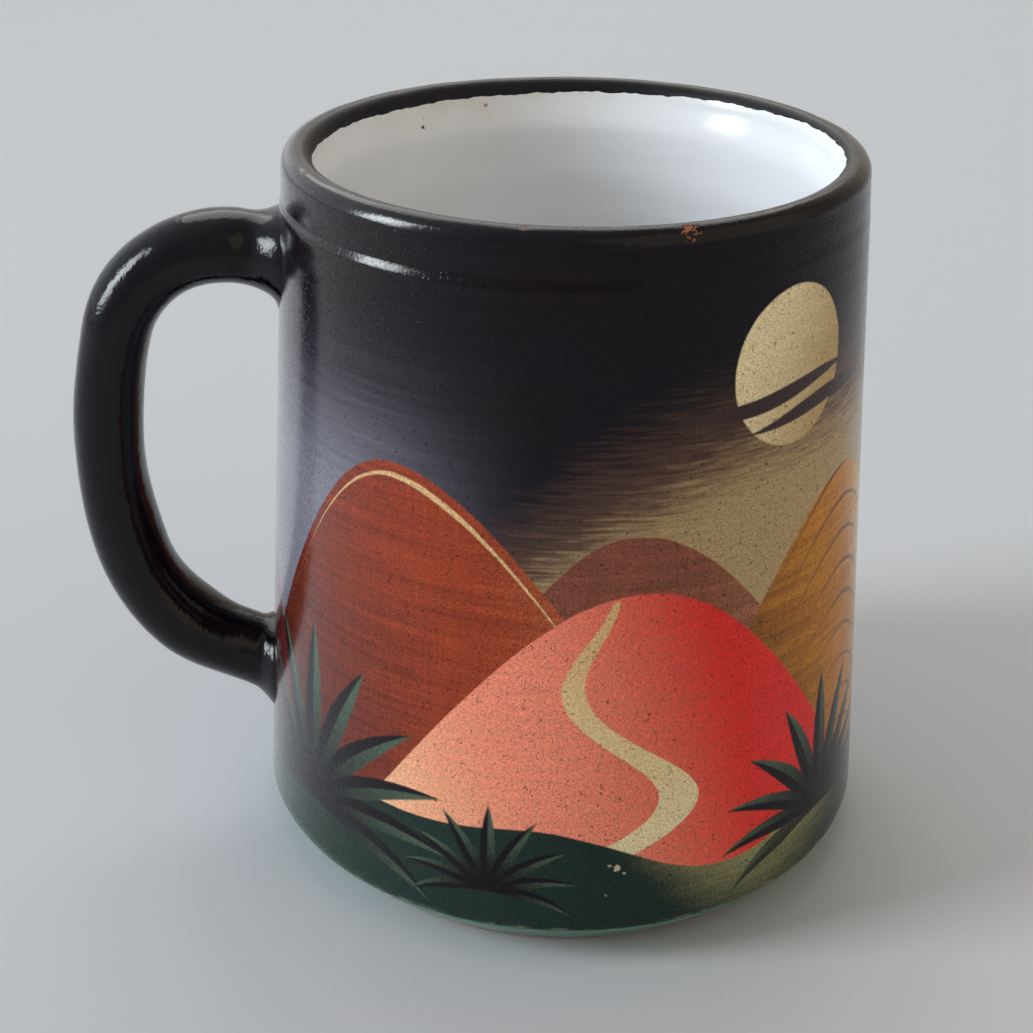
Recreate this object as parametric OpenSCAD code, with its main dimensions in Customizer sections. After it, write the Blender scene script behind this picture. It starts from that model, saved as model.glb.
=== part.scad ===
// Hand-thrown clay mug with a rolled loop handle, white glaze inside and a painted coat outside.
// The base stands on z = 0, the body turns about +Z and the handle leaves the wall along -X.
// Profiles are drawn in the half-plane [radius, height], in millimetres.

/* [Body] */
// Height of the finished mug
body_h = 105; // [95:1:120]
// Outside diameter of the finished rim
rim_d = 80; // [74:0.5:86]
// Outside diameter at the turned edge above the bevel
base_d = 92.5; // [88:0.5:98]
// Thickness of the fired clay wall
clay_wall = 3.3; // [2.8:0.1:5]
// Thickness of the clay floor, measured from the foot
floor_t = 7; // [5:0.1:9]
// Radius of the inside corner between wall and floor
corner_r = 9; // [4:0.5:14]

/* [Foot] */
// Height of the bevel turned under the wall
bevel_h = 6.5; // [4:0.1:8]
// Width that the bevel takes off the radius
bevel_w = 6; // [3:0.1:8]
// Width of the ring that the mug stands on
foot_ring_w = 9; // [5:0.5:14]
// Depth of the recess inside the foot ring
recess_h = 1.5; // [0.5:0.1:3]
// Height of the bare clay left under the painted bevel
bare_foot_h = 0.8; // [0.4:0.1:2]

/* [Coats] */
// Thickness of the cream slip brushed on the outside
engobe_t = 0.3; // [0.2:0.05:0.5]
// Thickness of the paint and varnish over the cream slip
paint_t = 0.2; // [0.15:0.05:0.4]
// Thickness of the white glaze inside
glaze_t = 0.5; // [0.3:0.05:0.8]
// Thickness of the paint on the handle
handle_paint_t = 0.25; // [0.15:0.05:0.5]
// Angle from the top of the lip to where the rim band ends inside
rim_band_turn = 74; // [40:1:80]

/* [Handle] */
// Diameter of the rolled clay coil
rod_d = 9.7; // [8:0.1:12]
// Distance from the rim's top down to the upper joint
upper_drop = 15.2; // [14:0.1:24]
// Height of the lower joint above the foot
lower_rise = 24; // [18:0.5:34]
// Room for fingers, from the rim's radius to the inside of the grip
finger_gap = 21.9; // [18:0.1:28]
// Radius of the upper bend of the coil
upper_bend_r = 16.5; // [12:0.5:18]
// Radius of the lower bend of the coil
lower_bend_r = 24.5; // [18:0.5:27]
// Thinning of the coil where it is bent
bend_thinning = 0.1; // [0.05:0.05:0.4]
// Angle at which the coil rises from the upper joint
upper_rise_a = 7.5; // [0:0.5:12]
// Angle at which the coil comes down to the lower joint
lower_drop_a = 24.5; // [15:0.5:30]
// Turn of the grip's long arc above its widest point
grip_upper_a = 17; // [12:0.5:22]
// Turn of the grip's long arc below its widest point
grip_lower_a = 13.5; // [10:0.5:18]

/* [Handle joints] */
// Thickness of the slip between the coil's ends and the wall
slip_t = 0.6; // [0.3:0.1:1]
// Length of the upper collar along the coil
upper_collar_len = 4.5; // [3:0.1:6]
// Radius that the upper collar adds at the wall
upper_collar_flare = 1.9; // [0.8:0.1:3]
// Length of the lower collar along the coil
lower_collar_len = 4.5; // [3:0.1:6]
// Radius that the lower collar adds at the wall
lower_collar_flare = 1.3; // [0.8:0.1:2]
// Thickness of a collar's outer end
collar_edge_t = 0.3; // [0.2:0.05:0.6]

/* [Hidden] */
$fn = 96;

clay_colour = [0.62, 0.30, 0.17];
slip_colour = [0.68, 0.37, 0.22];
cream_colour = [0.85, 0.76, 0.52];
paint_colour = [0.13, 0.10, 0.13];
black_colour = [0.05, 0.045, 0.055];
glaze_colour = [0.90, 0.91, 0.92];

// Steps along a round stretch of a profile
lip_steps = 16;
corner_steps = 10;
collar_steps = 8;

// Points on an arc from angle a0 to angle a1
function arc(c, r, a0, a1, n) =
    [for (i = [0:n]) c + r * [cos(a0 + (a1 - a0) * i / n), sin(a0 + (a1 - a0) * i / n)]];
function unit(v) = v / norm(v);

// Wall: a straight line from the turned edge, tangent to the round clay lip
outer_t = engobe_t + paint_t;
lip_r = clay_wall / 2;
lip_c = [rim_d / 2 - outer_t - lip_r, body_h - outer_t - lip_r];
turned_edge = [base_d / 2 - outer_t, bevel_h];
edge_to_lip = lip_c - turned_edge;
wall_a = atan2(edge_to_lip.y, edge_to_lip.x) - asin(lip_r / norm(edge_to_lip));
wall_dir = [cos(wall_a), sin(wall_a)];
wall_out_a = wall_a - 90;
wall_in_a = wall_a + 90;
wall_out = [cos(wall_out_a), sin(wall_out_a)];
function wall_r(z) = turned_edge.x + (z - turned_edge.y) * wall_dir.x / wall_dir.y;

// Bevel and foot under the turned edge
foot = [turned_edge.x - bevel_w, 0];
bevel_dir = unit(turned_edge - foot);
bevel_out = [bevel_dir.y, -bevel_dir.x];
recess_r = foot.x - foot_ring_w;

// Inside corner, tangent to the inner wall and the floor
corner_line = lip_c - (lip_r + corner_r) * wall_out;
corner_c = corner_line + wall_dir * (floor_t + corner_r - corner_line.y) / wall_dir.y;
band_end_a = 90 + rim_band_turn;

// Outline of the outside, a distance k off the clay, from the bare foot up to the lip
function outside(k) = [
    foot + k * bevel_out + bevel_dir * (bare_foot_h - k * bevel_out.y) / bevel_dir.y,
    turned_edge + k * (wall_out + bevel_out) / (1 + wall_out * bevel_out),
    lip_c + (lip_r + k) * wall_out
];
function reversed(list) = [for (i = [len(list) - 1:-1:0]) list[i]];

// Handle centreline in the plane [distance from the axis, height]: a straight from the upper joint, the upper bend,
// the grip's long arc, the lower bend and a straight to the lower joint. The two straights and the long arc's
// radius follow from where the joints are and how far out the grip stands.
rod_r = rod_d / 2;
upper_joint = [wall_r(body_h - upper_drop), body_h - upper_drop];
lower_joint = [wall_r(lower_rise), lower_rise];
grip_reach = rim_d / 2 + finger_gap + handle_paint_t + rod_r;
upper_share = grip_reach - upper_joint.x - upper_bend_r * (sin(upper_rise_a) + cos(grip_upper_a));
lower_share = grip_reach - lower_joint.x - lower_bend_r * (cos(grip_lower_a) - sin(lower_drop_a));
grip_r = (upper_joint.y - lower_joint.y + upper_share * tan(upper_rise_a) - lower_share * tan(lower_drop_a)
          + upper_bend_r * (sin(grip_upper_a) - cos(upper_rise_a))
          + lower_bend_r * (sin(grip_lower_a) - cos(lower_drop_a)))
         / (sin(grip_upper_a) + sin(grip_lower_a) + (1 - cos(grip_upper_a)) * tan(upper_rise_a)
            - (1 - cos(grip_lower_a)) * tan(lower_drop_a));
upper_straight = (upper_share - grip_r * (1 - cos(grip_upper_a))) / cos(upper_rise_a);
lower_straight = (lower_share - grip_r * (1 - cos(grip_lower_a))) / cos(lower_drop_a);

// Centres of the three arcs
upper_bend_start = upper_joint + upper_straight * [cos(upper_rise_a), sin(upper_rise_a)];
upper_bend_c = upper_bend_start + upper_bend_r * [sin(upper_rise_a), -cos(upper_rise_a)];
grip_c = upper_bend_c - (grip_r - upper_bend_r) * [cos(grip_upper_a), sin(grip_upper_a)];
lower_bend_c = grip_c + (grip_r - lower_bend_r) * [cos(grip_lower_a), -sin(grip_lower_a)];

// How far the coil and the collars run on into the wall before they are trimmed to it
trim_depth = 6;
// How far a thinner bend is let into the stretches beside it
bend_let_in = 1;
// How far the cone that trims them runs on above the rim and below the foot
trim_over = 20;

// Places children so that +Z runs out of a joint along the coil
module at_joint(joint, rise_a) {
    translate([joint.x, 0, joint.y]) rotate([0, 90 - rise_a, 0]) children();
}

module bend(c, r, a0, a1, section_r) {
    translate([c.x, 0, c.y]) rotate([90, 0, 0]) rotate([0, 0, a0])
        rotate_extrude(angle = a1 - a0) translate([r, 0]) circle(r = section_r);
}

// One of the two tighter bends, a little thinner than the rest and let into its neighbours at both ends
module thin_bend(c, r, a0, a1, section_r) {
    let_in_a = bend_let_in / r * 180 / PI;
    bend(c, r, a0 - let_in_a, a1 + let_in_a, section_r - bend_thinning);
}

// The coil's whole length as a round rod, run on into the wall at both ends
module rod(section_r) {
    at_joint(upper_joint, upper_rise_a)
        translate([0, 0, -trim_depth]) cylinder(r = section_r, h = upper_straight + trim_depth);
    thin_bend(upper_bend_c, upper_bend_r, grip_upper_a, 90 + upper_rise_a, section_r);
    bend(grip_c, grip_r, -grip_lower_a, grip_upper_a, section_r);
    thin_bend(lower_bend_c, lower_bend_r, lower_drop_a - 90, -grip_lower_a, section_r);
    at_joint(lower_joint, lower_drop_a)
        translate([0, 0, -trim_depth]) cylinder(r = section_r, h = lower_straight + trim_depth);
}

// A flared collar around the coil's end, with its surface a distance k off the clay
module flare(joint, rise_a, length, flare, k) {
    function flare_r(s) = rod_r + collar_edge_t + k + flare * pow(1 - s / length, 2);
    at_joint(joint, rise_a) rotate_extrude() polygon(concat(
        [[0, -trim_depth]],
        [for (i = [0:collar_steps])
            let (s = -trim_depth + (length + trim_depth) * i / collar_steps) [flare_r(s), s + k]],
        [[0, length + k]]));
}
module upper_flare(k) { flare(upper_joint, upper_rise_a, upper_collar_len, upper_collar_flare, k); }
module lower_flare(k) { flare(lower_joint, lower_drop_a, lower_collar_len, lower_collar_flare, k); }

// The wall as a solid cone, a distance k off the clay
module wall_cone(k) {
    translate([0, 0, -trim_over]) cylinder(
        h = body_h + 2 * trim_over,
        r1 = wall_r(-trim_over) + k / wall_out.x,
        r2 = wall_r(body_h + trim_over) + k / wall_out.x);
}

// The handle's pieces are drawn along +X and turned to their side of the mug
module handle_side() { rotate([0, 0, 180]) children(); }

// Thrown red clay: wall, floor, round lip and turned foot
module clay_body() {
    color(clay_colour) rotate_extrude() polygon(concat(
        [[0, recess_h], [recess_r - recess_h, recess_h], [recess_r, 0], foot, turned_edge],
        arc(lip_c, lip_r, wall_out_a, wall_in_a, lip_steps),
        arc(corner_c, corner_r, wall_out_a, -90, corner_steps),
        [[0, floor_t]]));
}

// A coat on the outside between two distances off the clay, open where the handle's collars sit
module outside_coat(k0, k1) {
    difference() {
        rotate_extrude() polygon(concat(outside(k0), reversed(outside(k1))));
        handle_side() upper_flare(0);
        handle_side() lower_flare(0);
    }
}
module engobe_coat() { color(cream_colour) outside_coat(0, engobe_t); }
module paint_coat() { color(paint_colour) outside_coat(engobe_t, outer_t); }

// Black paint over the lip, from the painted wall to just inside the mouth
module rim_band() {
    color(black_colour) rotate_extrude() polygon(concat(
        arc(lip_c, lip_r, wall_out_a, band_end_a, lip_steps),
        arc(lip_c, lip_r + outer_t, band_end_a, wall_out_a, lip_steps)));
}

// White glaze on the inside wall, corner and floor
module glaze_lining() {
    color(glaze_colour) rotate_extrude() polygon(concat(
        arc(lip_c, lip_r, band_end_a, wall_in_a, lip_steps),
        arc(corner_c, corner_r, wall_out_a, -90, corner_steps),
        [[0, floor_t], [0, floor_t + glaze_t]],
        arc(corner_c, corner_r - glaze_t, -90, wall_out_a, corner_steps),
        arc(lip_c, lip_r + glaze_t, wall_in_a, band_end_a, lip_steps)));
}

// Rolled clay coil, its ends trimmed to the wall's curve with room for the slip
module handle_coil() {
    color(clay_colour) handle_side() difference() {
        rod(rod_r);
        wall_cone(slip_t);
    }
}

// Slip that sticks a trimmed end of the coil to the wall
module slip_joint(joint, rise_a) {
    color(slip_colour) handle_side() difference() {
        intersection() {
            at_joint(joint, rise_a) translate([0, 0, -trim_depth]) cylinder(r = rod_r, h = 2 * trim_depth);
            wall_cone(slip_t);
        }
        wall_cone(0);
    }
}
module upper_slip_joint() { slip_joint(upper_joint, upper_rise_a); }
module lower_slip_joint() { slip_joint(lower_joint, lower_drop_a); }

// Soft clay pressed round a joint and smoothed out to the wall
module collar_clay() {
    color(clay_colour) handle_side() difference() {
        children();
        rod(rod_r);
        wall_cone(0);
    }
}
module upper_collar() { collar_clay() upper_flare(0); }
module lower_collar() { collar_clay() lower_flare(0); }

// Black paint over the coil and its collars, ending on the painted wall
module handle_coat() {
    color(black_colour) handle_side() difference() {
        union() {
            rod(rod_r + handle_paint_t);
            upper_flare(handle_paint_t);
            lower_flare(handle_paint_t);
        }
        rod(rod_r);
        upper_flare(0);
        lower_flare(0);
        wall_cone(outer_t);
    }
}

clay_body();
engobe_coat();
paint_coat();
rim_band();
glaze_lining();
handle_coil();
handle_coat();
upper_slip_joint();
lower_slip_joint();
upper_collar();
lower_collar();
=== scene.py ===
import math

import bmesh
import bpy
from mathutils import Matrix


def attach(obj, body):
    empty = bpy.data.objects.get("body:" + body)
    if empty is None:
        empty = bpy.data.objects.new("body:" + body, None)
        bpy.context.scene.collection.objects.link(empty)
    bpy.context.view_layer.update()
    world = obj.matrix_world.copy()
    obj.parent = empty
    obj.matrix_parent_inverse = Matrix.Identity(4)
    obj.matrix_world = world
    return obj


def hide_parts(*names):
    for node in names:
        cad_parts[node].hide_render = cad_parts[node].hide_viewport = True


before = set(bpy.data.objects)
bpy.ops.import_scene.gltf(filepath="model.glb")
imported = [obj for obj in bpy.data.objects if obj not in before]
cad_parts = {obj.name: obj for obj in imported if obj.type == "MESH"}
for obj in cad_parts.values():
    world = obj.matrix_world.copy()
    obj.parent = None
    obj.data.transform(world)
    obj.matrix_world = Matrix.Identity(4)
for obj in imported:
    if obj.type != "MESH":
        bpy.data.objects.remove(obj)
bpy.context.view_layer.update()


# Clay body. Red earthenware, thrown on a wheel and turned at the foot once it was leather-hard.
# Bare clay shows only underneath, on the foot ring and in the shallow recess: coats cover the rest.
# The solid from the CAD has the right shape, so it stays and takes a fired-clay finish.

class Batch:
    """One socket of a finish that is being mixed. Sums of batches add Math nodes to that finish."""

    def __init__(self, tree, socket=None):
        self.tree = tree
        self.socket = socket

    def node(self, kind, settings=(), sockets=(), output=0):
        """Adds any other node: its settings come first, then the values or links of its sockets."""
        made = self.tree.nodes.new(kind)
        for name, value in dict(settings).items():
            setattr(made, name, value)
        for key, value in dict(sockets).items():
            if isinstance(value, Batch):
                self.tree.links.new(value.socket, made.inputs[key])
            else:
                made.inputs[key].default_value = value
        if isinstance(output, tuple):
            return tuple(Batch(self.tree, made.outputs[name]) for name in output)
        return Batch(self.tree, made.outputs[output])

    def math(self, operation, *values):
        return self.node("ShaderNodeMath", {"operation": operation}, enumerate(values))

    def __add__(self, other):
        return self.math("ADD", self, other)

    __radd__ = __add__

    def __sub__(self, other):
        return self.math("SUBTRACT", self, other)

    def __rsub__(self, other):
        return self.math("SUBTRACT", other, self)

    def __mul__(self, other):
        return self.math("MULTIPLY", self, other)

    __rmul__ = __mul__

    def __truediv__(self, other):
        return self.math("DIVIDE", self, other)

    def __pow__(self, other):
        return self.math("POWER", self, other)

    def __abs__(self):
        return self.math("ABSOLUTE", self)

    def sine(self):
        return self.math("SINE", self)

    def rise(self, low, high):
        """0 below low, 1 above high, and a smooth step between them."""
        return self.node("ShaderNodeMapRange", {"interpolation_type": "SMOOTHSTEP"},
                         {"Value": self, "From Min": low, "From Max": high})

    def grain(self, spot, size_mm, detail=2.0, stretch=(1, 1, 1)):
        """Noise about 0, with lumps of a size in mm, drawn out along an axis by stretch."""
        scale = [1000 / (size_mm * s) for s in stretch]
        spread = self.node("ShaderNodeVectorMath", {"operation": "MULTIPLY"}, {0: spot, 1: scale})
        return self.node("ShaderNodeTexNoise", {}, {"Vector": spread, "Scale": 1.0, "Detail": detail}) - 0.5

    def tint(self, low, high):
        """A colour that goes from low to high as this value goes from 0 to 1."""
        return self.node("ShaderNodeMix", {"data_type": "RGBA"}, {0: self, 6: low, 7: high}, output=2)


def colour(red, green, blue):
    """A colour given as it looks on a screen, 0 to 255, as a shader takes it."""
    def linear(part):
        part = part / 255
        return part / 12.92 if part <= 0.04045 else ((part + 0.055) / 1.055) ** 2.4
    return (linear(red), linear(green), linear(blue), 1.0)


def new_finish(name, constants):
    """A finish with one shader, whose constant sockets are set at once."""
    material = bpy.data.materials.new(name)
    material.use_nodes = True
    shader = material.node_tree.nodes["Principled BSDF"]
    for socket, value in constants.items():
        shader.inputs[socket].default_value = value
    return material, shader, Batch(material.node_tree)


def lead(batch, shader, socket):
    """Leads a value that varies into a socket of a shader."""
    batch.tree.links.new(batch.socket, shader.inputs[socket])


def relief(mix, height_mm, shader):
    """A height in mm, felt by the light as a bump."""
    bump = mix.node("ShaderNodeBump", {}, {"Strength": 1.0, "Distance": 0.001, "Height": height_mm})
    lead(bump, shader, "Normal")


def on_mug(mix):
    """Where a point of the mug lies: its place in metres, its x, y and z in mm, its angle about the axis."""
    spot = mix.node("ShaderNodeTexCoord", output="Object")
    in_mm = mix.node("ShaderNodeVectorMath", {"operation": "SCALE"}, {0: spot, "Scale": 1000.0})
    x, y, z = mix.node("ShaderNodeSeparateXYZ", {}, {0: in_mm}, output=("X", "Y", "Z"))
    return spot, x, y, z, mix.math("ARCTAN2", y, x)


def fired_clay(name, pale, dark):
    """Fired earthenware: clouded between two tones, with turning marks and grit."""
    material, shader, mix = new_finish(name, {"Specular IOR Level": 0.3})
    spot, x, y, z, angle = on_mug(mix)
    from_axis = mix.math("SQRT", x * x + y * y)
    turning = (from_axis * 3.1 + mix.grain(spot, 9) * 4).sine() * 0.5
    cloud = mix.grain(spot, 7, 4.0)
    grit = mix.grain(spot, 0.6, 1.0).rise(0.13, 0.2)
    tone = (cloud * 1.3 + turning * 0.1 + 0.5).tint(dark, pale)
    lead((grit * 0.6).tint(tone, colour(96, 52, 34)), shader, "Base Color")
    lead(cloud * 0.2 + 0.82, shader, "Roughness")
    relief(mix, turning * 0.03 + mix.grain(spot, 0.9, 3.0) * 0.05, shader)
    return material


red_clay = fired_clay("red_clay", colour(196, 112, 72), colour(158, 80, 48))


def finish_node(name, material):
    """A CAD solid that stays takes this finish."""
    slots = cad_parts[name].data.materials
    slots.clear()
    slots.append(material)


finish_node("clay_body", red_clay)


# Handle coil. A roll of the same clay, thinner than a finger, pressed slightly flat and bent while soft.
# It is thickest towards its lower end and thinnest over the upper bend, where it stretched.
# Its two ends are trimmed to the wall's curve and stuck on with slip.

MM = 0.001
TURNED_EDGE = (45.75, 6.5)
LIP_CENTRE = (37.85, 102.85)
LIP_R = 1.65
# Angle of the wall's outward normal above level: the wall runs from the turned edge, tangent to the lip.
EDGE_TO_LIP = (LIP_CENTRE[0] - TURNED_EDGE[0], LIP_CENTRE[1] - TURNED_EDGE[1])
WALL_OUT = (math.atan2(EDGE_TO_LIP[1], EDGE_TO_LIP[0]) - math.asin(LIP_R / math.hypot(*EDGE_TO_LIP))
            - math.pi / 2)


def clay_wall_r(z):
    """Radius of the clay wall's outside at a height."""
    return TURNED_EDGE[0] - (z - TURNED_EDGE[1]) * math.tan(WALL_OUT)


UPPER_JOINT = (clay_wall_r(89.8), 89.8)
LOWER_JOINT = (clay_wall_r(24.0), 24.0)
UPPER_RISE = math.radians(7.5)
LOWER_DROP = math.radians(24.5)
UPPER_STRAIGHT, LOWER_STRAIGHT = 5.832, 7.545
UPPER_BEND_R, GRIP_R, LOWER_BEND_R = 16.5, 67.178, 24.5
UPPER_BEND_TURN, GRIP_TURN, LOWER_BEND_TURN = (math.radians(turn) for turn in (80.5, 30.5, 52.0))
# Each stretch of the coil's centreline, from the upper joint: its length in mm and its turn.
COIL_STRETCHES = [(UPPER_STRAIGHT, 0.0), (UPPER_BEND_R * UPPER_BEND_TURN, UPPER_BEND_TURN),
                  (GRIP_R * GRIP_TURN, GRIP_TURN), (LOWER_BEND_R * LOWER_BEND_TURN, LOWER_BEND_TURN),
                  (LOWER_STRAIGHT, 0.0)]
COIL_LENGTH = sum(length for length, turn in COIL_STRETCHES)
# Finished radius of the coil at places along it, in mm.
COIL_RADII = [(0.0, 5.2), (8.0, 4.85), (18.0, 4.62), (30.0, 4.75), (48.0, 4.95), (66.0, 5.2), (80.0, 5.45),
              (95.0, 5.45)]
HANDLE_PAINT = 0.25
# Length at either end of the coil that belongs to its collar.
COLLAR_ZONE = 6.5
# How much wider than thick the coil is on either side, and where from its upper and lower end it is so.
COIL_FLAT = 1.2
FLAT_FROM_UPPER, FLAT_FROM_LOWER = 9.0, 16.0
# How much fuller the upper bend is on top, and where along the coil that starts and ends.
BEND_FULLNESS = 0.5
FULLER_FROM, FULLER_TO = (1.0, 8.0), (22.0, 38.0)
COIL_RINGS = 84
ROUND_STEPS = 48


def coil_place(along):
    """Centre of the coil as (distance from the axis, height), and its heading,
    at a distance along it from the upper joint."""
    r, z = UPPER_JOINT
    heading = UPPER_RISE
    left = along
    for length, turn in COIL_STRETCHES:
        go = min(left, length)
        part = turn * go / length
        chord = go if part == 0 else 2 * go / part * math.sin(part / 2)
        r += chord * math.cos(heading - part / 2)
        z += chord * math.sin(heading - part / 2)
        heading -= part
        left -= go
        if left <= 0:
            break
    return r, z, heading


def soft_step(value, low, high):
    """0 below low, 1 above high, and a smooth step between them."""
    t = min(1.0, max(0.0, (value - low) / (high - low)))
    return t * t * (3 - 2 * t)


def coil_radius(along):
    """Finished radius of the coil at a place along it, before it was pressed flat."""
    for (s0, r0), (s1, r1) in zip(COIL_RADII, COIL_RADII[1:]):
        if along <= s1:
            return r0 + (r1 - r0) * soft_step(along, s0, s1)
    return COIL_RADII[-1][1]


def coil_reach(along, turn):
    """Finished distance from the coil's centre to its outside, at a place along it and an angle round it.
    Between its joints the coil was pressed a little flat, and its upper bend is fuller on top."""
    lower_start, lower_end = COIL_LENGTH - FLAT_FROM_LOWER, COIL_LENGTH - COLLAR_ZONE
    flat = soft_step(along, 0.0, FLAT_FROM_UPPER) * (1 - soft_step(along, lower_start, lower_end))
    full = soft_step(along, *FULLER_FROM) * (1 - soft_step(along, *FULLER_TO))
    aside, outer = math.cos(turn) ** 2, max(0.0, math.sin(turn)) ** 2
    return coil_radius(along) + COIL_FLAT * flat * aside + BEND_FULLNESS * full * outer


def to_wall(joint, rise, spread, turn, off):
    """How far along the coil from its joint a line beside it meets the wall, grown by off."""
    low, high = -14.0, 14.0
    for step in range(40):
        mid = (low + high) / 2
        r = joint[0] + mid * math.cos(rise) - spread * math.sin(turn) * math.sin(rise)
        z = joint[1] + mid * math.sin(rise) + spread * math.sin(turn) * math.cos(rise)
        if math.hypot(r, spread * math.cos(turn)) < clay_wall_r(z) + off:
            low = mid
        else:
            high = mid
    return (low + high) / 2


COLLAR_RINGS = 16
# How close a collar's rings stand near the wall, and how fast its skirt and its web fall off along the coil.
RING_CROWDING = 1.5
SKIRT_FALL, WEB_FALL = 4.0, 9.0
# How far each collar stands out from the coil at the wall, in mm.
UPPER_SKIRT, UPPER_WEB, UPPER_CHEEK = 1.6, 2.8, 2.8
LOWER_SKIRT, LOWER_CHEEK = 0.9, 2.3


def upper_flare(turn, share):
    """Radius that the upper collar adds, from the wall (share 0) to the plain coil (share 1):
    a broad cheek on either side, a web underneath and a small peak on top."""
    up, aside = math.sin(turn), math.cos(turn) ** 2
    skirt = UPPER_SKIRT - 0.8 * aside - 0.8 * max(0.0, -up) ** 2 - 0.3 * max(0.0, up)
    web = UPPER_WEB * max(0.0, -up) ** 3
    cheek = UPPER_CHEEK * aside * (1 - soft_step(share, 0.05, 0.85))
    return skirt * (1 - share) ** SKIRT_FALL + web * (1 - share) ** WEB_FALL + cheek


def lower_flare(turn, share):
    """The same for the lower collar: short cheeks, a lip underneath and almost nothing on top."""
    up, aside = math.sin(turn), math.cos(turn) ** 2
    skirt = LOWER_SKIRT - 0.5 * aside + 0.8 * max(0.0, -up) ** 2 - 0.4 * max(0.0, up) ** 3
    cheek = LOWER_CHEEK * aside * (1 - soft_step(share, 0.0, 0.5))
    return skirt * (1 - share) ** SKIRT_FALL + cheek


def no_flare(turn, share):
    """A plain end, with no collar."""
    return 0.0


def end_ring(joint, rise, at_end, share, skin, off, flare):
    """A ring near a joint, from the wall (share 0) to the plain coil (share 1)."""
    ring = []
    for i in range(ROUND_STEPS):
        turn = 2 * math.pi * i / ROUND_STEPS
        plain = coil_reach(0 if at_end == "upper" else COIL_LENGTH, turn) + skin
        spread = plain + flare(turn, share)
        foot = to_wall(joint, rise, plain + flare(turn, 0.0), turn, off)
        along = foot + (COLLAR_ZONE - foot) * share
        if at_end == "upper":
            spread += (coil_reach(max(0.0, along), turn) - coil_reach(0, turn)) * share
        r = joint[0] + along * math.cos(rise) - spread * math.sin(turn) * math.sin(rise)
        z = joint[1] + along * math.sin(rise) + spread * math.sin(turn) * math.cos(rise)
        ring.append((-r * MM, spread * math.cos(turn) * MM, z * MM))
    return ring


def coil_rings(skin, off, upper=no_flare, lower=no_flare):
    """Rings of the coil's outside, a thickness skin off its finished size, with flares at its ends."""
    shares = [(i / COLLAR_RINGS) ** RING_CROWDING for i in range(COLLAR_RINGS + 1)]
    rings = [end_ring(UPPER_JOINT, UPPER_RISE, "upper", share, skin, off, upper) for share in shares]
    for i in range(1, COIL_RINGS):
        along = COLLAR_ZONE + (COIL_LENGTH - 2 * COLLAR_ZONE) * i / COIL_RINGS
        r, z, heading = coil_place(along)
        ring = []
        for j in range(ROUND_STEPS):
            turn = 2 * math.pi * j / ROUND_STEPS
            lump = 0.05 * math.sin(along / 3.7 + 2 * turn) + 0.04 * math.sin(along / 6.1 - turn + 1.3)
            blend = min(1.0, min(along - COLLAR_ZONE, COIL_LENGTH - COLLAR_ZONE - along) / 8)
            spread = coil_reach(along, turn) + skin + lump * blend
            outwards = spread * math.sin(turn)
            ring.append((-(r - outwards * math.sin(heading)) * MM, spread * math.cos(turn) * MM,
                         (z + outwards * math.cos(heading)) * MM))
        rings.append(ring)
    # The lower end is drawn outwards from its joint, so its rings run the other way round the coil.
    for share in reversed(shares):
        ring = end_ring(LOWER_JOINT, LOWER_DROP, "lower", share, skin, off, lower)
        rings.append([ring[(-j) % ROUND_STEPS] for j in range(ROUND_STEPS)])
    return rings


SHARP_EDGE = math.radians(38)


def new_piece(name, mesh, material, slot, *nodes):
    """A mesh becomes a piece of the mug: smooth, finished, and standing for its CAD nodes."""
    bmesh.ops.recalc_face_normals(mesh, faces=mesh.faces)
    data = bpy.data.meshes.new(name)
    mesh.to_mesh(data)
    mesh.free()
    data.shade_smooth()
    data.set_sharp_from_angle(angle=SHARP_EDGE)
    piece = bpy.data.objects.new(name, data)
    bpy.context.scene.collection.objects.link(piece)
    data.materials.append(material)
    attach(piece, "root")
    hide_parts(*nodes)
    return piece


def joined(mesh, ring, after):
    """Faces between two rings of the same count."""
    for i in range(len(ring)):
        k = (i + 1) % len(ring)
        mesh.faces.new((ring[i], ring[k], after[k], after[i]))


def tube(rings):
    """A closed rod through rings, with its two ends filled."""
    mesh = bmesh.new()
    rows = [[mesh.verts.new(point) for point in ring] for ring in rings]
    for row, after in zip(rows, rows[1:]):
        joined(mesh, row, after)
    mesh.faces.new(rows[0])
    mesh.faces.new(rows[-1])
    return mesh


SLIP = 0.6
coil_clay = tube(coil_rings(-HANDLE_PAINT, SLIP))
new_piece("handle_coil_clay", coil_clay, red_clay, "clay", "handle_coil")


# Slip joints. Clay thinned with water, brushed between the coil's trimmed ends and the scored wall.
# It fires to a slightly paler, grainier clay. The solids stay as they are: the collars hide them.

joint_slip = fired_clay("joint_slip", colour(206, 128, 88), colour(170, 96, 62))
finish_node("upper_slip_joint", joint_slip)
finish_node("lower_slip_joint", joint_slip)


# Joint collars. Soft clay pressed round each joint and smoothed with a thumb, out to the wall.
# The upper one is fuller and hangs a little under the coil; the lower one is a thin lip.
# They fill the space between the coil and the paint that runs over both.

def sleeve(outside, inside):
    """A closed skin between two sets of rings of the same count."""
    mesh = bmesh.new()
    outer = [[mesh.verts.new(point) for point in ring] for ring in outside]
    inner = [[mesh.verts.new(point) for point in ring] for ring in inside]
    for rows in (outer, inner):
        for row, after in zip(rows, rows[1:]):
            joined(mesh, row, after)
    joined(mesh, outer[0], inner[0])
    joined(mesh, outer[-1], inner[-1])
    return mesh


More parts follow.
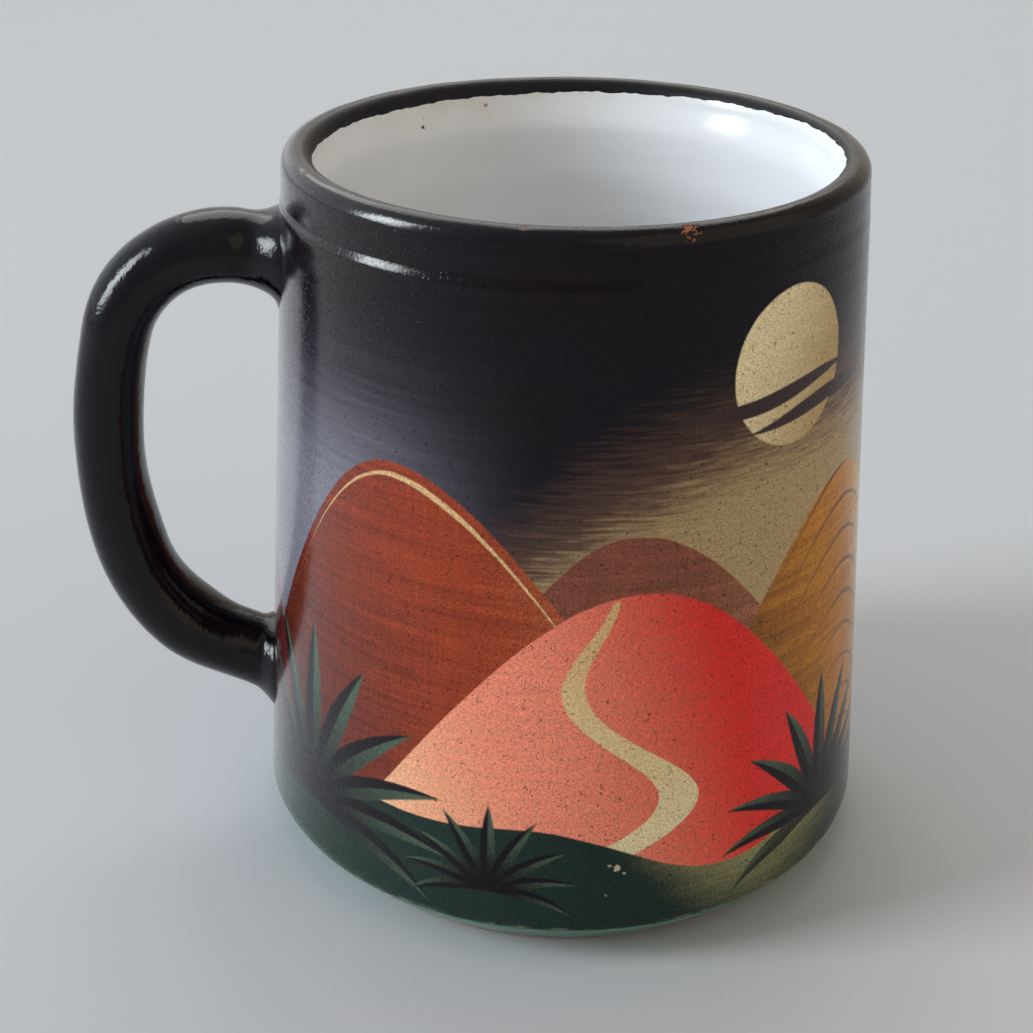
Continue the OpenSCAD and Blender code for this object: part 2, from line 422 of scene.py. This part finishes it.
# Rings of clay in a collar, counted from the wall.
COLLAR_REACH = 8
for side, joint, rise, flare in (("upper", UPPER_JOINT, UPPER_RISE, upper_flare),
                                 ("lower", LOWER_JOINT, LOWER_DROP, lower_flare)):
    shares = [(i / COLLAR_RINGS) ** RING_CROWDING for i in range(COLLAR_REACH)]
    clay_out = [end_ring(joint, rise, side, share, -HANDLE_PAINT, 0.0, flare) for share in shares]
    clay_in = [end_ring(joint, rise, side, share, -HANDLE_PAINT, 0.0, no_flare) for share in shares]
    new_piece(side + "_collar_clay", sleeve(clay_out, clay_in), red_clay, "clay", side + "_collar")


# Glaze lining. White tin glaze, poured in, swirled round and poured out again before the second firing.
# It covers the floor and the inner wall up to just under the lip, with pinholes and a few specks in it.
# The turning of the wall shows through it as faint rings.

GLAZE = 0.5
FLOOR = 7.0
CORNER_R = 9.0
CORNER_CENTRE = (clay_wall_r(16.0) - (2 * LIP_R + CORNER_R) / math.cos(WALL_OUT), FLOOR + CORNER_R)
TURNED_STEPS = 480


def wheel_wobble(angle, z):
    """How far a thrown wall strays from a true circle, in mm."""
    return (0.06 * math.sin(2 * angle + 0.6) + 0.035 * math.sin(3 * angle - z / 21)
            + 0.025 * math.sin(5 * angle + z / 13 + 1.1) + 0.018 * math.sin(z * 1.9 + 2 * math.sin(angle)))


# Waves in the brushed edge of the rim band: degrees over the lip, count round the mug, and start.
BRUSH_WAVES = [(1.7, 11, 1.3), (1.6, 29, 0.9), (1.3, 47, 2.6), (1.1, 71, 1.7), (0.9, 113, 0.4),
               (0.7, 149, 0.0)]


def band_edge(angle):
    """Where the black of the rim meets the glaze inside the lip, as an angle over the lip: a brushed line."""
    drift = 29 * math.cos(angle - math.radians(127))
    brush = sum(deep * math.sin(count * angle + start) for deep, count, start in BRUSH_WAVES)
    return math.radians(152 + drift + brush)


def over_lip(a, out):
    """The point at an angle over the lip, a radius off its centre, as (radius, height).
    Past the lip's inner side it goes on straight down the wall."""
    inner_side = WALL_OUT + math.pi
    on_round = min(a, inner_side)
    down = max(0.0, a - inner_side) * LIP_R
    return (LIP_CENTRE[0] + out * math.cos(on_round) + down * math.sin(WALL_OUT),
            LIP_CENTRE[1] + out * math.sin(on_round) - down * math.cos(WALL_OUT))


INNER_ROLL = 1.4


def inner_roll(z):
    """The wall's swelling below the lip, where glaze that ran down stayed thick, in mm."""
    return INNER_ROLL * (1 - soft_step(z, 97.5, 103.6)) * soft_step(z, 55, 95)


def glaze_line(angle, thick):
    """The inside from the lip to the middle of the floor, a thickness off the clay, as (radius, height)."""
    points = []
    start, end = band_edge(angle), math.radians(200)
    for i in range(9):
        r, z = top = over_lip(start + (end - start) * i / 8, LIP_R + thick)
        points.append((r - inner_roll(z) * thick / GLAZE, z))
    corner_top = (CORNER_CENTRE[0] + (CORNER_R - thick) * math.cos(WALL_OUT),
                  CORNER_CENTRE[1] + (CORNER_R - thick) * math.sin(WALL_OUT))
    rows = 72
    for i in range(1, rows):
        t = (i / rows) ** 1.3
        r, z = (top[k] + (corner_top[k] - top[k]) * t for k in (0, 1))
        ring = 0.05 * math.sin(z * 0.83 + 0.8 * math.sin(angle + z / 30))
        strays = (ring + wheel_wobble(angle + 1, z)) * min(1.0, t * 12)
        points.append((r + (strays - inner_roll(z)) * thick / GLAZE, z))
    for i in range(9):
        a = WALL_OUT + (-math.pi / 2 - WALL_OUT) * i / 8
        points.append((CORNER_CENTRE[0] + (CORNER_R - thick) * math.cos(a),
                       CORNER_CENTRE[1] + (CORNER_R - thick) * math.sin(a)))
    rows = 16
    for i in range(1, rows + 1):
        r = CORNER_CENTRE[0] * (1 - i / rows)
        ring = 0.12 * math.sin(r / 2.4) * min(1.0, (rows - i) / 4)
        points.append((r, FLOOR + thick + ring * thick / GLAZE))
    return points


def coat(under, over, steps, window=None):
    """A closed coat turned about the axis between two lines of one count, open where window says so."""
    mesh = bmesh.new()
    sides = []
    for line in (under, over):
        rows = []
        for i in range(steps):
            a = 2 * math.pi * i / steps
            east, north = math.cos(a) * MM, math.sin(a) * MM
            rows.append([mesh.verts.new((r * east, r * north, z * MM)) for r, z in line(a)])
        sides.append(rows)
    below, above = sides
    count = len(below[0]) - 1
    kept = [[not (window and window(above[i][j].co)) for j in range(count)] for i in range(steps)]
    for i in range(steps):
        n = (i + 1) % steps
        for j in range(count):
            if not kept[i][j]:
                continue
            for rows in sides:
                mesh.faces.new((rows[i][j], rows[n][j], rows[n][j + 1], rows[i][j + 1]))
            if j == 0 or not kept[i][j - 1]:
                mesh.faces.new((below[i][j], below[n][j], above[n][j], above[i][j]))
            if j == count - 1 or not kept[i][j + 1]:
                mesh.faces.new((below[i][j + 1], below[n][j + 1], above[n][j + 1], above[i][j + 1]))
            if not kept[i - 1][j]:
                mesh.faces.new((below[i][j], below[i][j + 1], above[i][j + 1], above[i][j]))
            if not kept[n][j]:
                mesh.faces.new((below[n][j], below[n][j + 1], above[n][j + 1], above[n][j]))
    bmesh.ops.delete(mesh, geom=[v for v in mesh.verts if not v.link_faces], context="VERTS")
    bmesh.ops.remove_doubles(mesh, verts=mesh.verts, dist=1e-7)
    return mesh


white_glaze, shader, mix = new_finish("white_glaze", {"IOR": 1.5})
spot, x, y, z, angle = on_mug(mix)


def spot_mark(mix, angle, z, at_degrees, at_z, radius, ragged):
    """A round mark on the wall at an angle and height, with a ragged edge: 1 inside, 0 outside."""
    off = mix.math("WRAP", angle - math.radians(at_degrees), math.pi, -math.pi) * 40
    up = z - at_z
    away = mix.math("SQRT", off * off + up * up)
    return (radius - away + ragged).rise(-0.12, 0.12)


cloud = mix.grain(spot, 22, 3.0)
warm = ((angle - math.radians(60)).sine() * 0.25 + cloud * 0.9).rise(0.0, 0.7)
milk = (warm * 0.5).tint(colour(230, 232, 235), colour(224, 218, 206))
stain = (z + mix.grain(spot, 5, 3.0) * 7).rise(100.5, 104.5) * warm
milk = (stain * 0.75).tint(milk, colour(196, 176, 142))
pinholes = mix.grain(spot, 0.6, 0.0).rise(0.30, 0.34) * mix.grain(spot, 9).rise(0.16, 0.26)
milk = (pinholes * 0.3).tint(milk, colour(150, 128, 110))
ragged = mix.grain(spot, 0.5) * 0.8
# Specks in the glaze: angle, height, radius and colour.
GLAZE_SPECKS = [(125.6, 99.6, 0.3, (44, 38, 36)), (125.0, 100.9, 0.14, (60, 50, 46)),
                (107.3, 101.6, 0.28, (178, 116, 92))]
for at_degrees, at_z, radius, shade in GLAZE_SPECKS:
    milk = spot_mark(mix, angle, z, at_degrees, at_z, radius, ragged).tint(milk, colour(*shade))
lead(milk, shader, "Base Color")
lead(cloud * 0.1 + 0.17, shader, "Roughness")
runs = mix.grain(spot, 11, 2.0, (2, 2, 0.4))
relief(mix, mix.grain(spot, 2.4) * 0.03 + runs * 0.12 - pinholes * 0.05, shader)
lining = coat(lambda a: glaze_line(a, 0.0), lambda a: glaze_line(a, GLAZE), TURNED_STEPS)
new_piece("white_glaze_lining", lining, white_glaze, "glaze", "glaze_lining")


# Cream slip. A thin coat of pale clay brushed on the outside, so that the colours over it stay bright.
# It shows only where the paint is worn through. The solid from the CAD stays under the paint.

cream_slip, shader, mix = new_finish("cream_slip", {"Roughness": 0.75})
spot, x, y, z, angle = on_mug(mix)
cloud = mix.grain(spot, 4, 4.0) + 0.5
lead(cloud.tint(colour(206, 186, 138), colour(226, 208, 164)), shader, "Base Color")
relief(mix, mix.grain(spot, 3, 3.0, (6, 6, 0.3)) * 0.05, shader)
finish_node("engobe_coat", cream_slip)


# Painted coat. Thin colours brushed and sprayed over the cream slip, under a clear gloss varnish.
# A dusk sky goes from plum black through lavender and warm beige to rounded hills, with dark agaves in front.
# The lavender beside the handle is partly a painted sheen: a reflection painted into the colour.
# It runs down over the turned edge and under the bevel, and is open where the handle's collars sit.

ENGOBE = 0.3
OUTSIDE = 0.5
BEVEL_W = 6.0
BEVEL = math.atan2(TURNED_EDGE[1], BEVEL_W)
BARE_FOOT = 0.8
COLLAR_WINDOW_R = 5.6
WALL_STEPS = 384


def throwing_ridge(angle, z):
    """The groove that the thrower's finger left under the lip, and the shoulder below it, in mm.
    Both are plain beside the handle and fade out round the mug."""
    groove = soft_step(z, 97.6, 99.0)
    shape = 0.28 * (1 - groove) * soft_step(z, 84, 96.5) - 0.12 * groove * (1 - soft_step(z, 100.2, 102.4))
    return shape * (0.1 + 0.9 * (0.5 + 0.5 * math.cos(angle - math.radians(-138))) ** 8)


def outside_line(angle, off, strays):
    """The outside from the bare foot to the lip, a distance off the clay, as (radius, height)."""
    bevel_out = (math.sin(BEVEL), -math.cos(BEVEL))
    wall_out = (math.cos(WALL_OUT), math.sin(WALL_OUT))
    start = (TURNED_EDGE[0] + off * bevel_out[0], TURNED_EDGE[1] + off * bevel_out[1])
    points = []
    down = (start[1] - BARE_FOOT) / math.sin(BEVEL)
    for i in range(8):
        back = down * (1 - i / 7) + 0.3 * i / 7
        points.append((start[0] - back * math.cos(BEVEL), start[1] - back * math.sin(BEVEL)))
    for i in range(1, 6):
        t = i / 6
        a = (BEVEL - math.pi / 2) * (1 - t) + WALL_OUT * t
        points.append((TURNED_EDGE[0] + off * math.cos(a) - 0.12, TURNED_EDGE[1] + off * math.sin(a) + 0.05))
    top = (LIP_CENTRE[0] + (LIP_R + off) * wall_out[0], LIP_CENTRE[1] + (LIP_R + off) * wall_out[1])
    foot = (TURNED_EDGE[0] + off * wall_out[0], TURNED_EDGE[1] + off * wall_out[1] + 0.3)
    # The rows stand closer above the handle, where the shoulder is.
    for t in [0.88 * i / 64 for i in range(64)] + [0.88 + 0.12 * i / 48 for i in range(49)]:
        r, z = (foot[k] + (top[k] - foot[k]) * t for k in (0, 1))
        points.append((r + (wheel_wobble(angle, z) + throwing_ridge(angle, z) if strays else 0.0), z))
    return points


def under_collar(point):
    """True where one of the handle's collars covers the wall."""
    if point.x > 0:
        return False
    y, z = point.y / MM, point.z / MM
    return any(math.hypot(y, z - joint[1]) < COLLAR_WINDOW_R for joint in (UPPER_JOINT, LOWER_JOINT))


painted, shader, mix = new_finish("painted_wall", {"IOR": 1.27, "Coat IOR": 1.55, "Coat Roughness": 0.16})
spot, x, y, z, angle = on_mug(mix)
WALL_MEAN_R = 43.0
PLUM_BLACK = colour(14, 9, 17)
CREAM = colour(238, 222, 178)
hand = mix.grain(spot, 7, 3.0) * 0.9
spray = mix.grain(spot, 0.22, 1.0)
strokes = mix.grain(spot, 1.6, 3.0, (14, 14, 0.5))
dry_strokes = mix.grain(spot, 0.8, 3.0, (6, 6, 0.5))
upright_strokes = mix.grain(spot, 1.3, 3.0, (0.6, 0.6, 9))


def beside(at_degrees):
    """How far round the wall a point is from an angle, in mm."""
    return mix.math("WRAP", angle - math.radians(at_degrees), math.pi, -math.pi) * WALL_MEAN_R


def brushed(inside):
    """A brushed edge: 1 where a distance in mm is above 0, and 0 where it is below."""
    return inside.rise(-0.15, 0.15)


def sprayed(value, low, high):
    """A soft sprayed change from 0 to 1, broken up by droplets and brush strokes."""
    return (value + spray * (high - low) * 0.25 + strokes * (high - low) * 0.25).rise(low, high)


def shaded(paint, amount):
    """A colour made lighter or darker in places, by an amount that goes up and down about 0."""
    return mix.node("ShaderNodeVectorMath", {"operation": "SCALE"}, {0: paint, "Scale": amount + 1})


def hill(at_degrees, foot, height, left, right):
    """How far a point is below the top line of a rounded hill, and how far beside its peak."""
    off = beside(at_degrees)
    spread = left + (right - left) * off.math("GREATER_THAN", off, 0.0)
    share = mix.math("MINIMUM", abs(off) / spread, 1.0)
    bell = (share * math.pi + math.pi / 2).sine() * 0.5 + 0.5
    return foot + height * bell ** 0.85 - z + hand * 0.5, off


def towards_handle(angle, power):
    """1 at the handle and 0 opposite it: the higher the power, the sooner it falls off."""
    return (0.5 - (angle + math.pi / 2).sine() * 0.5) ** power


# Sky, black above, with a lavender haze low beside the handle and a beige glow elsewhere. Part of that
# lavender is painted sheen: the pale room's reflection on the gloss, painted into the colour.
handle_side = towards_handle(angle, 2.5)
dusk = z + (angle * 2 + 0.5).sine() * 2 + handle_side * 58
dusk = dusk + dry_strokes * 14
picture = sprayed(dusk, 68, 80).tint(colour(176, 152, 110), colour(88, 64, 54))
night = (mix.grain(spot, 24, 2.0, (1, 1, 0.5)) * 2.4 + 0.5).tint(colour(18, 8, 11), colour(13, 10, 22))
# Painted sheen: lavender grey low beside the handle, standing in for the pale room's reflection in the
# varnish.
haze_and_sheen = handle_side.rise(0.25, 0.75) * (1 - sprayed(z, 62, 98)) ** 2
night = haze_and_sheen.tint(night, colour(124, 121, 135))
picture = sprayed(dusk, 76, 91).tint(picture, night)

# Moon with two thin bars of cloud across it.
off, up = beside(-52), z - 85
moon = sprayed(off - up * 0.5, -12, 12).tint(CREAM, colour(182, 154, 104))
picture = brushed(10.5 - mix.math("SQRT", off * off + up * up) + hand * 0.3).tint(picture, moon)
for at_off, at_up, reach in ((-4, -3.2, 17), (6, -6.6, 14)):
    along = off - at_off
    bar = 1.1 - along * along * (1.1 / reach ** 2) - abs(up - at_up - (off * 0.15).sine() * 1.1)
    picture = brushed(bar + hand * 0.2).tint(picture, colour(62, 46, 46))

# Hills, from the furthest to the nearest: place, foot, height, spread to the left and right, three colours
# from one side to the other, and where these start and end beside the peak.
TERRACOTTA = ((74, 30, 22), (150, 58, 32), (200, 120, 76))
OCHRE = ((60, 26, 34), (190, 124, 30), (228, 182, 74))
RED = ((236, 212, 158), (240, 140, 114), (222, 46, 40))
MAROON = ((52, 18, 24), (112, 30, 32), (164, 60, 46))
DISTANT = ((92, 46, 42), (138, 80, 62), (172, 122, 88))
HILLS = [
    (-84, 10, 56, 44, 54, DISTANT, -34, 40), (100, 10, 54, 50, 44, DISTANT, -34, 40),
    (-128, 10, 63, 46, 62, TERRACOTTA, -34, 50), (62, 10, 58, 50, 50, OCHRE, -30, 26),
    (-34, 10, 57, 52, 44, OCHRE, -34, 22), (146, 10, 54, 46, 50, TERRACOTTA, -16, 90),
    (-82, 0, 58, 60, 58, RED, -50, 12), (104, 0, 50, 52, 54, RED, -44, 14),
    (-176, 8, 40, 30, 28, MAROON, -10, 60), (22, 8, 32, 30, 30, MAROON, -20, 22),
]
for at_degrees, foot, height, left, right, (first, middle, last), start, end in HILLS:
    below, off = hill(at_degrees, foot, height, left, right)
    half = (start + end) / 2
    slope = sprayed(off - below * 0.3, start, half).tint(colour(*first), colour(*middle))
    slope = sprayed(off - below * 0.3, half, end).tint(slope, colour(*last))
    if middle == OCHRE[1]:
        furrow = 0.3 - mix.math("PINGPONG", below + off * 0.1, 2.6) + hand * 0.25
        ploughed = brushed(furrow) * sprayed(off - below * 0.4, -24, 0)
        slope = (ploughed * 0.75).tint(slope, colour(74, 34, 36))
    if middle == TERRACOTTA[1]:
        crest = 0.5 - abs(below - 1.7 - abs(off) * 0.03) - abs(off - 8) * 0.02 + hand * 0.2
        slope = brushed(crest).tint(slope, colour(214, 176, 124))
    brushwork = strokes * 0.3 if middle == RED[1] else strokes * 0.8 + upright_strokes * 0.5
    picture = brushed(below).tint(picture, shaded(slope, brushwork))

# Winding path over the nearest hill, narrower with distance.
below, off = hill(-82, 0, 58, 60, 58)
bend = off + 4 + (z * 0.17).sine() * (64 - z) * 0.26
path = brushed((64 - z) * 0.075 - abs(bend) + hand * 0.25) * brushed(below - 0.4)
picture = path.tint(picture, sprayed(z, 14, 58).tint(CREAM, colour(220, 178, 122)))

# Dark green meadow in front, lit on its rises.
crest = 19 + (angle * 3 + 1.4).sine() * 4 + (angle * 7 + 0.4).sine() * 1.4
below = crest - z + hand * 0.4
lit_turf = sprayed((angle * 2 + 3.4).sine() * 10 - below * 0.5, 3, 12)
picture = brushed(below).tint(picture, lit_turf.tint(colour(26, 46, 40), colour(152, 148, 102)))


def agave(picture, at_degrees, foot, reach, leaves):
    """A fan of pointed leaves that lean outwards, each folded into a dark half and a lit half."""
    off, up = beside(at_degrees), z - foot
    away = mix.math("SQRT", off * off + up * up)
    upright = mix.math("ARCTAN2", off, up) * (1 - away * (0.3 / reach))
    step = math.pi / leaves
    leaf = mix.math("ROUND", upright / step) * step
    across = (upright - leaf).sine() * away
    longest = reach * (1 - abs(leaf) * 0.14)
    blade = (1 - away / longest) * (away + 0.22 * reach) * 0.17
    inside = brushed(blade - abs(across) + hand * 0.15) * (1 - abs(leaf).rise(1.42, 1.46))
    lit = brushed(across) * sprayed(away, reach * 0.15, reach * 0.9)
    return inside.tint(picture, lit.tint(PLUM_BLACK, colour(74, 92, 76)))


# Agaves: angle, foot, reach and count of leaves.
AGAVES = [(-148, 15, 29, 11), (-40, 14, 23, 11), (-108, 12, 14, 9), (14, 14, 28, 11), (74, 13, 20, 9),
          (124, 15, 28, 11), (176, 13, 15, 9)]
for at_degrees, foot, reach, leaves in AGAVES:
    picture = agave(picture, at_degrees, foot, reach, leaves)

# Wear and painted light: droplets and strokes in the colours, the pale bevel, a pale line along the turned
# edge that is partly rubbed paint and partly a painted highlight, and chips down to the slip.
picture = shaded(picture, spray * 1.5 - mix.grain(spot, 0.45, 0.0).rise(0.2, 0.3) * 0.5)
worn = (strokes * 0.5 + mix.grain(spot, 0.9, 3.0, (10, 10, 0.6)) * 0.5).rise(0.1, 0.4)
picture = (worn * 0.07).tint(picture, colour(164, 134, 104))
bevel = 1 - (z + mix.grain(spot, 1.5) * 0.4).rise(6.2, 6.6)
pale_green = (mix.grain(spot, 3, 4.0) * 1.6 + 0.5).tint(colour(52, 104, 86), colour(94, 146, 122))
picture = bevel.tint(picture, pale_green)
# Pale line along the turned edge: partly rubbed paint, partly a painted highlight along the crisp edge.
rub_and_edge_highlight = (1 - abs(z - 6.7).rise(0.05, 0.4)) * (mix.grain(spot, 2.6, 4.0) + 0.05).rise(0.0, 0.25)
picture = (rub_and_edge_highlight * 0.25).tint(picture, colour(190, 188, 160))
nick = mix.grain(spot, 0.6, 2.0) * 0.9
chips = None
# Chips in the paint: angle, height and radius.
PAINT_CHIPS = [(-85.5, 16.6, 0.5), (-86.8, 17.1, 0.14), (-84.2, 15.7, 0.12), (-87.4, 12.3, 0.14),
               (-81.5, 18.7, 0.16), (60.0, 8.6, 0.5), (140.0, 40.0, 0.3), (95.0, 22.0, 0.35)]
for at_degrees, at_z, radius in PAINT_CHIPS:
    chip = spot_mark(mix, angle, z, at_degrees, at_z, radius, nick)
    chips = chip if chips is None else mix.math("MAXIMUM", chips, chip)
picture = chips.tint(picture, colour(204, 188, 146))
lead(picture, shader, "Base Color")
lead(chips * 0.6 + strokes * 0.08 + 0.14, shader, "Roughness")
# The varnish is thickest beside the handle, and speckled.
varnish = mix.grain(spot, 0.3, 1.0) * 2.2 + 0.9
lead(handle_side ** 2 * (1 - chips) * varnish, shader, "Coat Weight")
turned = (z + mix.grain(spot, 24) * 50).rise(66, 92) * (1 - abs(beside(-42)).rise(14, 46))
broken = mix.grain(spot, 7, 2.0).rise(-0.12, 0.15)
turning_lines = mix.grain(spot, 0.8, 2.0, (11, 11, 0.5)) * (turned * broken * 0.09 + 0.015)
orange_peel = mix.grain(spot, 0.34, 1.0) * 0.03 + mix.grain(spot, 0.5, 0.0).rise(0.14, 0.3) * 0.03
swell = mix.grain(spot, 5, 2.0)
relief(mix, turning_lines + swell * 0.05 + orange_peel + strokes * 0.01 - chips * 0.15, shader)
wall_coat = coat(lambda a: outside_line(a, ENGOBE, False), lambda a: outside_line(a, OUTSIDE, True),
                 WALL_STEPS, under_collar)
new_piece("painted_wall_coat", wall_coat, painted, "paint", "paint_coat")


# Rim band. Black paint brushed over the round lip, from the painted wall to just inside the mouth.
# It sits on bare clay, so where it is nicked brick-red specks show.
# The lip was finished by hand and isn't quite even.

# Nicked places: angle round the rim, angle over the lip, radius and depth in mm.
LIP_NICKS = [(-75.1, 46, 1.5, 0.12), (-104.4, 78, 0.6, 0.1), (20.0, 60, 0.8, 0.1), (130.0, 95, 0.9, 0.1),
             (-160.0, 70, 0.6, 0.08)]


def lip_line(angle, thick, strays):
    """The lip from the outer wall over the top to the glaze, so far off the clay, as (radius, height)."""
    points = []
    start, end = WALL_OUT, band_edge(angle)
    wall_top = LIP_CENTRE[1] + (LIP_R + thick) * math.sin(WALL_OUT)
    rows = 36
    for i in range(rows + 1):
        t = i / rows
        a = start + (end - start) * t
        out = LIP_R + thick
        if strays:
            out += wheel_wobble(angle, wall_top) * (1 - t)
            uneven = (0.02 * math.sin(9 * angle + 4 * t) + 0.015 * math.sin(23 * angle - 5 * t)
                      + 0.05 * math.sin(2 * angle + 2.2))
            out += math.sin(math.pi * t) * uneven
            for at_degrees, over, radius, deep in LIP_NICKS:
                round_lip = (angle - math.radians(at_degrees) + math.pi) % (2 * math.pi) - math.pi
                away = math.hypot(round_lip * LIP_CENTRE[0], (a - math.radians(over)) * out)
                out -= deep * max(0.0, 1 - (away / radius) ** 2)
        points.append(over_lip(a, out))
    return points


def black_gloss(name, constants):
    """Black paint under gloss varnish, with a plum cast, brush lumps and fine dust in it."""
    material, shader, mix = new_finish(name, constants)
    spot, x, y, z, angle = on_mug(mix)
    cloud = mix.grain(spot, 8, 3.0)
    dust = mix.grain(spot, 0.5, 0.0).rise(0.3, 0.36)
    tone = (cloud + 0.5).tint(colour(6, 4, 10), colour(12, 9, 18))
    tone = (dust * 0.2).tint(tone, colour(92, 84, 86))
    lumps = (mix.grain(spot, 11) * 0.2 + mix.grain(spot, 3.4, 2.0) * 0.07 + mix.grain(spot, 1.1, 1.0) * 0.05
             + mix.grain(spot, 0.34, 1.0) * 0.02)
    return material, shader, mix, tone, lumps, cloud


rim_gloss = {"IOR": 1.33, "Coat IOR": 1.5, "Coat Roughness": 0.16}
rim_black, shader, mix, tone, lumps, cloud = black_gloss("rim_black", rim_gloss)
spot, x, y, z, angle = on_mug(mix)
specks = mix.grain(spot, 0.7, 2.0).rise(0.0, 0.06)
bare = None
for at_degrees, over, radius, deep in LIP_NICKS:
    lip_r = LIP_R + OUTSIDE
    at_r = LIP_CENTRE[0] + lip_r * math.cos(math.radians(over))
    centre = (at_r * math.cos(math.radians(at_degrees)), at_r * math.sin(math.radians(at_degrees)),
              LIP_CENTRE[1] + lip_r * math.sin(math.radians(over)))
    dx, dy, dz = x - centre[0], y - centre[1], z - centre[2]
    nick = 1 - mix.math("SQRT", dx * dx + dy * dy + dz * dz).rise(radius * 0.6, radius)
    bare = nick if bare is None else mix.math("MAXIMUM", bare, nick)
bare = bare * specks
brick = (mix.grain(spot, 0.8) + 0.5).tint(colour(120, 62, 40), colour(190, 112, 76))
lead(bare.tint(tone, brick), shader, "Base Color")
inwards = LIP_CENTRE[0] - mix.math("SQRT", x * x + y * y)
inside, on_top = inwards.rise(0.2, 1.2), inwards.rise(-1.6, 0.2)
lead(bare * 0.6 + cloud * 0.08 + inside * 0.35 + 0.14, shader, "Roughness")
speckle = mix.grain(spot, 0.3, 1.0)
varnish = towards_handle(angle, 4) * (speckle * 1.6 + 0.9)
lead(varnish * (1 - on_top) * (1 - bare), shader, "Coat Weight")
relief(mix, lumps * 0.5 + speckle * 0.03 - bare * 0.08, shader)
rim_coat = coat(lambda a: lip_line(a, 0.0, False), lambda a: lip_line(a, OUTSIDE, True), TURNED_STEPS)
new_piece("black_rim_band", rim_coat, rim_black, "black_paint", "rim_band")


# Handle coat. The same black paint and varnish, run over the coil and its collars down to the painted wall.
# Brushed on thickly, it lies in soft lumps along the coil.

handle_black, shader, mix, tone, lumps, cloud = black_gloss("handle_black", {"IOR": 1.36})
lead(tone, shader, "Base Color")
lead(cloud * 0.08 + 0.12, shader, "Roughness")
relief(mix, lumps, shader)
PAINT_END = OUTSIDE - 0.1
paint_out = coil_rings(0.0, PAINT_END, upper_flare, lower_flare)
paint_in = coil_rings(-HANDLE_PAINT, PAINT_END, upper_flare, lower_flare)
new_piece("black_handle_coat", sleeve(paint_out, paint_in), handle_black, "black_paint", "handle_coat")


# Table. A plain pale top of matt paint under the mug.
# It is far wider than the picture, so that none of its edges shows near the mug.

floor_mesh = bmesh.new()
FLOOR_HALF = 4.0
floor_mesh.faces.new([floor_mesh.verts.new((sx * FLOOR_HALF, sy * FLOOR_HALF, 0.0))
                      for sx, sy in ((-1, -1), (1, -1), (1, 1), (-1, 1))])
floor_data = bpy.data.meshes.new("pale_floor")
floor_mesh.to_mesh(floor_data)
floor_mesh.free()
floor = bpy.data.objects.new("pale_floor", floor_data)
bpy.context.scene.collection.objects.link(floor)
pale_floor, shader, mix = new_finish("pale_floor", {"Base Color": colour(188, 191, 196), "Roughness": 0.9,
                                                    "Specular IOR Level": 0.2})
floor_data.materials.append(pale_floor)


# Light. A tall window of two panes on the handle's side, broad soft lamps opposite and behind,
# and a pale room round it all, cool towards the window and warm away from it.

def soft_light(name, place, aim, width, height, power, tint, spread=math.pi):
    """An oblong lamp in metres and watts that faces its aim."""
    lamp = bpy.data.lights.new(name, "AREA")
    lamp.spread = spread
    lamp.shape = "RECTANGLE"
    lamp.size, lamp.size_y = width, height
    lamp.energy = power
    lamp.color = tint
    holder = bpy.data.objects.new(name, lamp)
    holder.location = place
    toward = [a - p for a, p in zip(aim, place)]
    flat = math.hypot(toward[0], toward[1])
    pitch = math.pi / 2 - math.atan2(-toward[2], flat)
    heading = math.atan2(toward[1], toward[0]) - math.pi / 2
    holder.rotation_euler = (pitch, 0.0, heading)
    bpy.context.scene.collection.objects.link(holder)


# The panes shine towards the mug only, so that the floor below them stays as pale as the rest.
PANE_SPREAD = math.radians(60)
PANE_HEIGHT = 1.36
MID_MUG = (0.0, 0.0, 0.06)
soft_light("wide_pane", (-2.19, -0.206, 1.02), MID_MUG, 0.55, PANE_HEIGHT, 4.7,
           (0.86, 0.95, 1.0), PANE_SPREAD)
soft_light("narrow_pane", (-2.12, -0.584, 1.02), MID_MUG, 0.19, PANE_HEIGHT, 1.3,
           (0.92, 0.96, 1.0), PANE_SPREAD)
soft_light("room_light", (1.2, -0.9, 0.9), (0.0, 0.0, 0.05), 2.6, 2.2, 7.5, (1.0, 0.85, 0.65))
soft_light("far_light", (0.0, 1.3, 1.3), (0.0, 0.5, 0.0), 1.6, 1.2, 12.0, (0.98, 1.0, 1.0))

room = bpy.data.worlds.new("pale_room")
bpy.context.scene.world = room
room.use_nodes = True
background = room.node_tree.nodes["Background"]
air = Batch(room.node_tree)
sight = air.node("ShaderNodeTexCoord", output="Generated")
side, back = air.node("ShaderNodeSeparateXYZ", {}, {0: sight}, output=("X", "Y"))
COOL_AIR, WARM_AIR = (0.79, 0.83, 0.88, 1.0), (0.93, 0.81, 0.66, 1.0)
lead(side.rise(-0.8, 0.8).tint(COOL_AIR, WARM_AIR), background, "Color")
lead((back - side).rise(-0.4, 1.3) * 0.56 + 0.41, background, "Strength")


# Camera. Above and in front of the mug, the handle to the left and turned slightly towards the lens.
# It stands close, with a lens of medium length, and is tipped half a degree to one side.

CAMERA_PLACE = (-0.023603, -0.230390, 0.167170)
CAMERA_TURN = [math.radians(part) for part in (62.611, -0.520, -3.731)]
lens = bpy.data.cameras.new("camera")
lens.sensor_fit = "HORIZONTAL"
lens.sensor_width = 36.0
lens.lens = 59.83
lens.clip_start = 0.01
camera = bpy.data.objects.new("camera", lens)
camera.location = CAMERA_PLACE
camera.rotation_euler = CAMERA_TURN
bpy.context.scene.collection.objects.link(camera)
bpy.context.scene.camera = camera
bpy.context.scene.view_settings.view_transform = "Standard"
